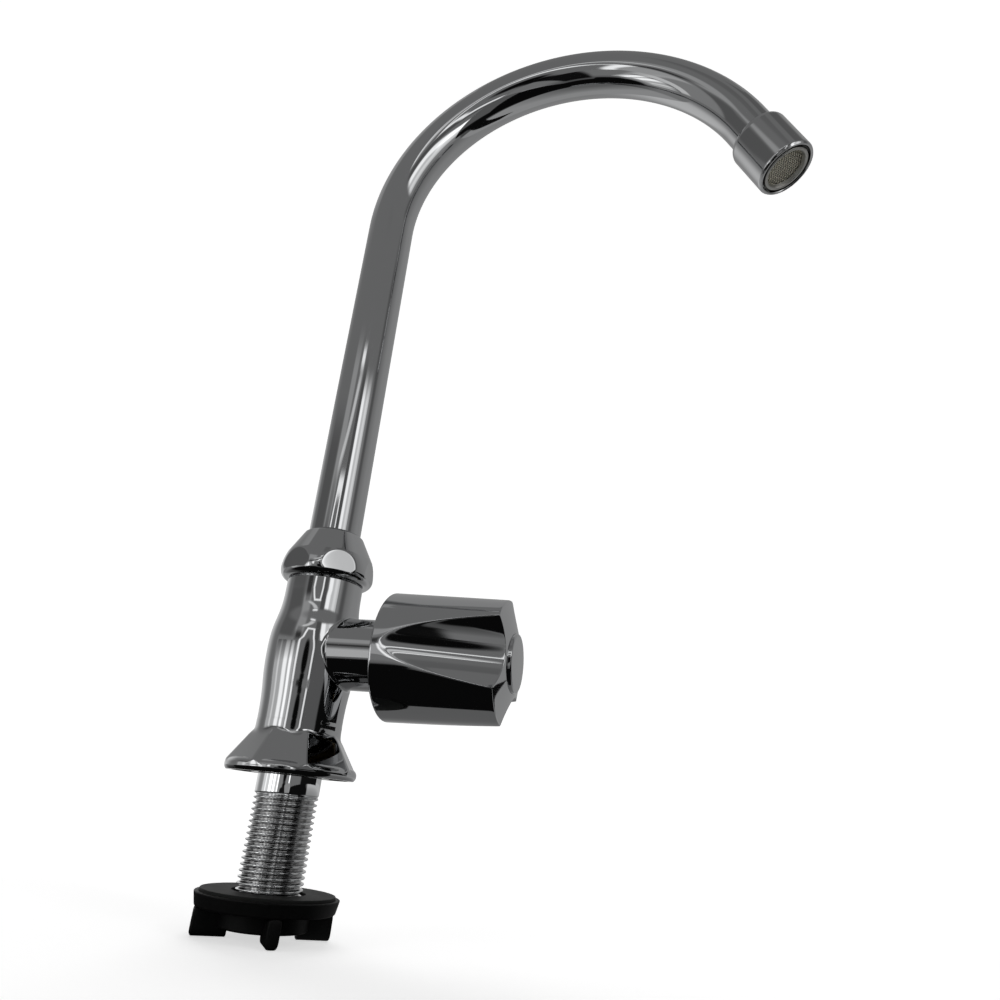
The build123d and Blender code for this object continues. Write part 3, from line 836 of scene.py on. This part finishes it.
# Valve
# A brass plug slides on the spindle's thread and presses a rubber disc, held by a brass screw,
# onto the seat in the body.
dress(brass, "valve_carrier", "valve_washer_screw")
dress(rubber, "valve_washer")


# Spindle
# A turned brass rod with two rubber rings in its grooves and a sprung steel clip that holds it
# in the headgear.
steel_dark = (0.42, 0.41, 0.39)
steel_light = (0.56, 0.55, 0.53)
steel = make_metal("spring_steel", steel_dark, steel_light, 0.22, 0.000002)
dress(brass, "spindle")
dress(rubber, "spindle_o_ring_inner", "spindle_o_ring_outer")
dress(steel, "spindle_clip")


# Knob
# A hollow zinc casting, chromed. Three round flutes start as points near its back and sink
# towards the front, and a shallow cone closes its nose. It sits on the spindle's square, held
# by a steel screw.
knob_back = 29.9
knob_front = 70.7
nose_front = 73.0
back_radius = 21.8
front_radius = 20.8
nose_radius = 10.2
back_edge = 0.8
front_edge = 0.3             # closer rows to each side of it
draft = 0.05                 # of the barrel, at the nose
flute_count = 3
flute_start = 33.0
flute_slope = np.radians(14.0)
flute_radius = 16.5
flute_azimuth = 178.0
flute_bevel = np.radians(0.5)
narrowest_flute = np.radians(3.0)
flute_missed = 99.0
nose_blend, flute_blend = 0.5, 0.3
recess_radius = 9.78
recess_start = 66.0
screw_hole = 2.0
hub_bore, hub_radius = 3.95, 7.0
hub_start, hub_end = 47.0, 62.0
socket_end = 60.05
hollow_front, hollow_middle = 12.17, 17.16
hollow_step = 42.0
slope_across, slope_along = np.cos(flute_slope), np.sin(flute_slope)


def flute(angle, offset):
    """How far from the knob's axis a tilted round cutter starts, as the nearer root of the
    quadratic for a ray from the axis meeting a cylinder; far away where the ray misses it."""
    side = np.cos(angle) * slope_across
    square = side**2 + np.sin(angle) ** 2
    inside = side**2 * offset**2 - square * (offset**2 - flute_radius**2)
    near = (-side * offset - np.sqrt(np.maximum(inside, 0))) / square
    return np.where((inside > 0) & (np.cos(angle) > 0), near, flute_missed)


def flute_columns(radius, offset, outside=30, inside=60):
    """Azimuths for each row that follow a flute's two edges, for a third of the knob. An edge
    lies where a circle of the row's radius meets the cutter, by the quadratic for its cosine."""
    pull = slope_across * offset
    spread = pull**2 + slope_along**2 * (radius**2 - flute_radius**2 + offset**2)
    cosine = (pull + np.sqrt(np.maximum(spread, 0))) / (radius * slope_along**2)
    half = np.arccos(np.clip(cosine, -1, np.cos(narrowest_flute)))
    third = np.pi / flute_count
    away = np.linspace(0, 1, outside)
    across = np.linspace(-1, 1, inside)
    left = -third + away * (third - half - flute_bevel)
    middle = across * (half - flute_bevel)
    right = half + flute_bevel + away[:-1] * (third - half - flute_bevel)
    return np.concatenate([left, -half, middle, half, right], 1)


distance = np.concatenate([
    knob_back + back_edge * (1 - np.cos(np.linspace(0, np.pi / 2, 8))),
    np.linspace(knob_back + back_edge, knob_front - front_edge, 118)[1:],
    np.linspace(knob_front - front_edge, knob_front + front_edge, 9)[1:],
    np.linspace(knob_front + front_edge, nose_front, 16)[1:],
])[:, None]
edge_share = np.clip((distance - knob_back) / back_edge, 0, 1)
rounded_back = back_radius - back_edge + back_edge * np.sqrt(1 - (1 - edge_share) ** 2)
barrel_ends = [knob_back + back_edge, nose_front]
barrel = np.interp(distance, barrel_ends, [back_radius, front_radius - draft])
nose_slope = (front_radius - nose_radius) / (nose_front - knob_front)
nose = np.interp(distance, [knob_front, nose_front], [front_radius, nose_radius])
nose = nose + np.maximum(knob_front - distance, 0) * nose_slope
knob_skin = softer(np.minimum(barrel, rounded_back), nose, nose_blend, -1)
cutter_x = back_radius + flute_radius * slope_across
cutter_z = flute_start + flute_radius * slope_along
cutter_offset = -cutter_x * slope_across + (distance - cutter_z) * slope_along
flute_middles = np.radians(flute_azimuth + 360 / flute_count * np.arange(flute_count))
columns = flute_columns(knob_skin, cutter_offset)
angle = np.concatenate([columns + middle for middle in flute_middles], 1)
for middle in flute_middles:
    knob_skin = softer(knob_skin, flute(angle - middle, cutter_offset), flute_blend, -1)
knob_hollow = softened([
    (nose_radius, nose_front),
    (recess_radius, nose_front),
    (recess_radius, recess_start),
    (screw_hole, recess_start),
    (screw_hole, socket_end),
    (hub_bore, socket_end),
    (hub_bore, hub_start),
    (hub_radius, hub_start),
    (hub_radius, hub_end),
    (hollow_front, hub_end),
    (hollow_middle, hollow_step),
    (hollow_middle, knob_back),
    (back_radius - back_edge, knob_back),
], 0.12, 3)
share = np.linspace(0, 1, len(knob_hollow))[:, None]
hollow_angle = angle[-1] * (1 - share) + angle[0] * share
hollow_grid = polar(knob_hollow[:, :1], knob_hollow[:, 1:], hollow_angle)
knob_grid = on_boss(np.concatenate([polar(knob_skin, distance, angle), hollow_grid]))
make_piece("knob_casting", [knob_grid], chrome, "handle", ["knob"])
dress(steel, "knob_screw")


# Index cap
# A chromed button pressed into the knob's nose over its screw, with a rounded edge and a very
# slight dome.
cap_radius = 9.73
cap_back = 73.0
cap_face = 74.3
cap_bore = 8.43
cap_edge, cap_edge_rise = 0.6, 0.5
cap_shoulder = 0.55
dome_rise = 0.12
turn = np.radians(np.linspace(0, 80, 8))[1:]
edge_radius = cap_radius - cap_edge + cap_edge * np.cos(turn)
edge_distance = cap_face - dome_rise - cap_edge_rise + cap_edge_rise * np.sin(turn)
dome_radius = np.linspace(cap_radius - cap_edge, 0, 14)
dome_distance = cap_face - dome_rise * (dome_radius / cap_radius) ** 2
cap = np.concatenate([
    [(0.0, cap_back), (cap_bore, cap_back), (cap_bore, recess_start)],
    [(cap_radius, recess_start), (cap_radius, cap_face - cap_shoulder)],
    np.stack([edge_radius, edge_distance], -1),
    np.stack([dome_radius, dome_distance], -1),
])
cap_grid = on_boss(spun(cap, boss_steps))
make_piece("index_button", [cap_grid], chrome, "handle", ["index_cap"])


# Spout tube
# One brass tube, bent on a former and chromed. It rises straight, turns over through 150
# degrees, and runs straight into the outlet. Its foot is soldered into a brass ferrule, and
# its end carries a brass ring for the aerator.
tube_radius = 9.5
tube_inside = 8.5
tube_foot = 68.0
arc_height = 227.8
arc_radius = 80.9
arc_turn = np.radians(149.7)
tail_length = 19.06
straight_after_arc = 30.06


def tube_wall(radius, riser, bend, tail):
    """Rings of a radius about the tube's centreline: a riser, an arc in the YZ plane about
    (0, -arc radius, arc height), and a tail along the arc's end. The counts are the rings."""
    bent = np.linspace(0, arc_turn, bend)
    turn = np.concatenate([np.zeros(riser), bent, np.full(tail, arc_turn)])[:, None]
    past_arc = np.linspace(0, tail_length, tail + 1)[1:]
    beyond = np.concatenate([np.zeros(riser + bend), past_arc])[:, None]
    under_arc = np.linspace(tube_foot - arc_height, 0, riser + 1)[:-1]
    below = np.concatenate([under_arc, np.zeros(bend + tail)])[:, None]
    y = arc_radius * (np.cos(turn) - 1) - beyond * np.sin(turn)
    z = arc_height + below + arc_radius * np.sin(turn) + beyond * np.cos(turn)
    angle = around(round_steps)
    out = radius * np.sin(angle)
    x = radius * np.cos(angle) + 0 * turn
    return np.stack([x, y + out * np.cos(turn), z + out * np.sin(turn)], -1)


outside = tube_wall(tube_radius, 60, 170, 12)
inside = tube_wall(tube_inside, 8, 60, 3)[::-1]
tube = [np.concatenate([outside, inside, outside[:1]])]
make_piece("swan_neck", tube, chrome, "spout", ["spout_tube"])
dress(brass, "spout_ferrule", "aerator_adapter")
dress(rubber, "spout_o_ring_lower", "spout_o_ring_upper", "aerator_washer")


# Slip washer
# A ring of natural plastic between the ferrule's flange and the spout nut. It is moulded, lies
# loose between them, and lets the spout turn under the nut.
natural_shade = (0.62, 0.61, 0.57)
lightest_plastic = 1.25      # times the shade
plastic_clouds = 0.15        # of its roughness


def make_plastic(name, shade, roughness):
    """Moulded plastic: an even colour, with the fine texture of the mould in its surface."""
    finish = Finish(name, Specular_IOR_Level=0.2)
    cloud = finish.grain(scale=150.0, detail=4.0)
    lighter = tuple(lightest_plastic * part for part in shade)
    finish.paint(Base_Color=finish.between(cloud, shade, lighter))
    finish.paint(Roughness=roughness + plastic_clouds * cloud)
    finish.paint(Normal=finish.relief(finish.grain(scale=2500.0), distance=0.00002))
    return finish


dress(make_plastic("natural_plastic", natural_shade, 0.45), "spout_slip_washer")


# Spout nut
# A chromed brass nut with a rounded foot, six spanner flats milled into its shoulder, and a
# cone above them. It screws onto the body's rim and holds the spout's ferrule down.
nut_foot = 66.3
nut_foot_radius = 14.0
nut_radius = 16.8
nut_roll = 3.7
nut_shoulder = (16.425, 73.0)
nut_cone_foot = (15.45, 76.0)
nut_cone_top = (10.9, 84.2)
nut_lip_radius = 9.9
nut_top = 85.0
nut_half_flat = 15.62
flat_foot = 68.2
rows_at_flats = np.array([-0.02, 0.04, 0.12])     # from the flats' foot
clear_of_nut = 5.0           # added to the flats' radius below their foot
flat_count = 6
flat_sharpness = 300.0
flat_blend = 0.12
nut_azimuth = 38.7
nut_bore, lip_lead = 9.65, 0.05
nut_cavity, nut_cavity_floor = 11.3, 77.1
nut_thread, nut_thread_top = 12.25, 74.15
nut_steps = 360

angle = around(nut_steps)
height = np.sort(np.concatenate([
    nut_foot + nut_roll * (1 - np.cos(np.linspace(0, np.pi / 2, 20))),
    flat_foot + rows_at_flats,
    np.linspace(nut_foot + nut_roll, nut_top, 112)[1:],
]))[:, None]
foot_share = np.clip((height - nut_foot) / nut_roll, 0, 1)
foot_round = np.sqrt(1 - (1 - foot_share) ** 2)
rounded_foot = nut_foot_radius + (nut_radius - nut_foot_radius) * foot_round
shoulder_points = [(nut_radius, nut_foot + nut_roll), nut_shoulder, nut_cone_foot]
shoulder_radii, shoulder_heights = np.array(shoulder_points).T
shoulder = np.polyval(np.polyfit(shoulder_heights, shoulder_radii, 2), height)
cone_points = [nut_cone_foot, nut_cone_top, (nut_lip_radius, nut_top)]
cone_radii, cone_heights = np.array(cone_points).T
cone = np.interp(height, cone_heights, cone_radii)
blank = np.where(height < nut_cone_foot[1], shoulder, cone)
blank = np.where(height < nut_foot + nut_roll, rounded_foot, blank)
flat_corner = nut_half_flat / np.cos(np.pi / flat_count)
first_corner = nut_azimuth + 180 / flat_count
flats = faceted(flat_corner, flat_count, first_corner, angle, flat_sharpness)
flats = flats + clear_of_nut * (height < flat_foot)
nut_skin = softer(blank, flats, flat_blend, -1)
nut_hollow = softened([
    (nut_bore + lip_lead, nut_top),
    (nut_bore, nut_top),
    (nut_bore, nut_cavity_floor),
    (nut_cavity, nut_cavity_floor),
    (nut_cavity, nut_thread_top),
    (nut_thread, nut_thread_top),
    (nut_thread, nut_foot),
    (nut_foot_radius, nut_foot),
], 0.1, 3)
nut = [np.concatenate([polar(nut_skin, height, angle), spun(nut_hollow, nut_steps)])]
make_piece("swivel_nut", nut, chrome, "tap_body", ["spout_nut"])


# Aerator housing
# A chromed brass cap with a rounded shoulder behind and a small chamfer round its mouth. It
# screws onto the brass ring on the tube's end.
flow = np.array([0.0, -np.sin(arc_turn), np.cos(arc_turn)])
arc_y = arc_radius * (np.cos(arc_turn) - 1)
arc_z = arc_height + arc_radius * np.sin(arc_turn)
outlet = np.array([0.0, arc_y, arc_z]) + flow * straight_after_arc
housing_back, back_face = -22.0, 10.3
back_corner = (11.55, -21.4)
housing_radius = 12.1
shoulder_start = -20.0       # the cavity's back wall is there too
chamfer_start = -1.0
rim_outside, rim_inside = 11.5, 11.0
mouth_radius, mouth_chamfer = 10.6, -0.4
cavity_radius, cavity_mouth = 11.0, -7.0
housing_steps = 160


def on_outlet(points):
    """From the outlet's own axes, with Z along the flow and zero at its rim, to the tap's."""
    x, y, z = points[..., :1], points[..., 1:2], points[..., 2:]
    level = np.array([0.0, flow[2], -flow[1]])
    return outlet + x * np.array([1.0, 0.0, 0.0]) + y * level + z * flow


housing_outline = [
    (tube_radius, housing_back),
    (back_face, housing_back),
    back_corner,
    (housing_radius, shoulder_start),
    (housing_radius, chamfer_start),
    (rim_outside, 0.0),
    (rim_inside, 0.0),
    (mouth_radius, mouth_chamfer),
    (mouth_radius, cavity_mouth),
    (cavity_radius, cavity_mouth),
    (cavity_radius, shoulder_start),
    (tube_radius, shoulder_start),
]
housing_eases = [0.1, 0.3, 0.7, 0.8, 0.6, 0.4, 0.15, 0.2, 0.1, 0.1, 0.1, 0.1]
housing_profile = softened(housing_outline, housing_eases, 6, closed=True)
housing = [on_outlet(spun(housing_profile, housing_steps))]
make_piece("outlet_housing", housing, chrome, "spout", ["aerator_housing"])


# Aerator insert
# A dull metal ring that the housing holds against the tube's seal. It has a thin rolled lip and
# a step for the screen. The cup of its jets, behind the screen, is painted near black as painted
# shade, for the hollow where no light reaches.
dull_dark = (0.44, 0.44, 0.42)
dull_light = (0.58, 0.58, 0.55)
# Painted shade: the jet cup's near-black colour, standing in for the shade behind the screen.
shade_dark = (0.004, 0.004, 0.004)
shade_light = (0.012, 0.012, 0.012)
insert_back = -9.9
insert_bore, step_underside = 8.45, -1.9
flange_radius, flange_front = 10.9, -7.05
insert_radius = 9.6
lip = [(insert_radius, -0.35), (9.0, -0.1), (8.4, -0.3)]
step_edge = (7.9, -1.85)
cup_mouth, cup_floor, cup_radius = -3.0, -8.2, 8.3

dull = make_metal("dull_plated_metal", dull_dark, dull_light, 0.4)
insert_outline = [
    (insert_bore, insert_back),
    (flange_radius, insert_back),
    (flange_radius, flange_front),
    (insert_radius, flange_front),
    *lip,
    step_edge,
    (insert_bore, step_underside),
]
insert_eases = [0.1, 0.1, 0.1, 0.1, 0.2, 0.3, 0.2, 0.1, 0.1]
insert = [on_outlet(spun(softened(insert_outline, insert_eases, 4, closed=True), 128))]
make_piece("outlet_insert", insert, dull, "spout", ["aerator_insert"])

# The cup's near-black colour is painted shade for the hollow behind the screen.
shaded = make_metal("shaded_metal", shade_dark, shade_light, 0.6)
cup = softened([
    (0.0, insert_back),
    (insert_bore, insert_back),
    (insert_bore, cup_mouth),
    (cup_radius, cup_mouth),
    (cup_radius, cup_floor),
    (0.0, cup_floor),
], 0.05, 2)
make_piece("jet_cup", [on_outlet(spun(cup, round_steps))], shaded, "spout", [])


# Aerator screen
# Steel wire woven one over, one under, cut round and laid on the insert's step. Water has
# yellowed it.
wire_radius = 0.17
wire_spacing = 1.02
wire_reach = 8.5
screen_place = -2.28
wire_sides = 6
points_a_crossing = 8
wire_dark = (0.66, 0.62, 0.50)
wire_light = (0.95, 0.92, 0.80)


def woven_wires(along_x):
    """Wires across a disc: each is a tube about y = k x spacing whose height is a cosine of the
    way along it, in step with the wires that it crosses and out of step with its neighbours."""
    wires = []
    count = int(wire_reach / wire_spacing)
    for number in range(-count, count + 1):
        offset = number * wire_spacing
        half = np.sqrt(wire_reach**2 - offset**2)
        steps = max(int(half / wire_spacing * points_a_crossing), points_a_crossing)
        way = np.linspace(-half, half, steps)
        phase = np.pi * (number + (0 if along_x else 1))
        lift = screen_place + wire_radius * np.cos(np.pi * way / wire_spacing + phase)
        angle = around(wire_sides)
        side = offset + wire_radius * np.cos(angle) + 0 * way[:, None]
        rise = lift[:, None] + wire_radius * np.sin(angle)
        run = way[:, None] + 0 * angle
        grid = np.stack([run, side, rise] if along_x else [side, run, rise], -1)
        ends = [np.repeat(grid[end].mean(0)[None], wire_sides, 0)[None] for end in (0, -1)]
        wires.append(on_outlet(np.concatenate([ends[0], grid, ends[1]])))
    return wires


wires = woven_wires(True) + woven_wires(False)
stained = make_metal("stained_wire", wire_dark, wire_light, 0.3)
make_piece("wire_screen", wires, stained, "spout", ["aerator_screen"], sharp_angle=60.0)


# Backnut washer
# A flat ring of dark plastic, moulded, that lies loose in a recess in the backnut's top. The
# backnut presses it against the worktop from below.
recess_floor = -36.25
washer_top = -34.85
washer_inner, washer_outer = 11.6, 21.1
grey_shade = (0.016, 0.017, 0.016)
disc_steps = 128

washer = softened([
    (washer_inner, recess_floor),
    (washer_outer, recess_floor),
    (washer_outer, washer_top),
    (washer_inner, washer_top),
], 0.2, 4, closed=True)
washer = [spun(washer, disc_steps)]
grey_plastic = make_plastic("dark_grey_plastic", grey_shade, 0.5)
make_piece("deck_washer", washer, grey_plastic, "clamp_washer", ["backnut_washer"])


# Backnut
# One black plastic moulding: a dished disc on a threaded hub, and four wings under it for the
# fingers. It runs on the shank's thread.
black_shade = (0.004, 0.004, 0.004)
nut_clearance = 0.16
thread_relief = 10.8
disc_recess = 21.15
disc_top, disc_top_radius = -35.75, 22.67
disc_foot, disc_foot_radius = -40.0, 21.7
nut_hub_radius = 14.0
hub_foot = -45.4
wing_count = 4
wing_foot = -48.0
wing_sink = 0.3              # into the disc
wing_reach = 21.5
wing_half = 2.0
wing_azimuth = 36.7
corner_power = 0.45
wing_points = 40

azimuth = around(disc_steps)
hub_rows = int((recess_floor - hub_foot) / pitch * rows_a_turn)
height = np.linspace(hub_foot, recess_floor, hub_rows)[:, None]
hub_thread = polar(thread(height, azimuth) + nut_clearance, height, azimuth)
disc_outline = [
    (thread_relief, recess_floor),
    (disc_recess, recess_floor),
    (disc_recess, disc_top),
    (disc_top_radius, disc_top),
    (disc_foot_radius, disc_foot),
    (nut_hub_radius, disc_foot),
    (nut_hub_radius, hub_foot),
    (thread_relief, hub_foot),
]
disc_eases = [0.1, 0.1, 0.2, 0.4, 0.6, 0.4, 0.5, 0.1]
disc = spun(softened(disc_outline, disc_eases, 5), disc_steps)
shapes = [np.concatenate([hub_thread, disc, hub_thread[:1]])]


def rounded_share(wave):
    """A sine or cosine drawn out towards 1 or -1 by a power of its size, which makes a circle
    into a rectangle with rounded corners."""
    return np.sign(wave) * np.abs(wave) ** corner_power


# How far from the axis each section of a wing lies, and its size there as a share of the full.
reach = [thread_relief, thread_relief, 11.0, 14.0, 18.0, 20.9, 21.2, 21.4]
reach += [wing_reach, wing_reach]
shrink = [0.0, 0.93, 1.0, 1.0, 1.0, 1.0, 0.96, 0.9, 0.8, 0.0]
section_angle = around(wing_points)
wing_head = disc_foot + wing_sink
section_y = wing_half * rounded_share(np.cos(section_angle))
section_z = (wing_head - wing_foot) / 2 * rounded_share(np.sin(section_angle))
x = np.array(reach)[:, None] + 0 * section_angle
y = np.array(shrink)[:, None] * section_y
z = (wing_head + wing_foot) / 2 + np.array(shrink)[:, None] * section_z
for place in range(wing_count):
    turn = np.radians(wing_azimuth + 360 / wing_count * place)
    turned_x = x * np.cos(turn) - y * np.sin(turn)
    turned_y = x * np.sin(turn) + y * np.cos(turn)
    shapes.append(np.stack([turned_x, turned_y, z], -1))
black_plastic = make_plastic("black_plastic", black_shade, 0.42)
make_piece("winged_backnut", shapes, black_plastic, "clamp_nut", ["backnut"])
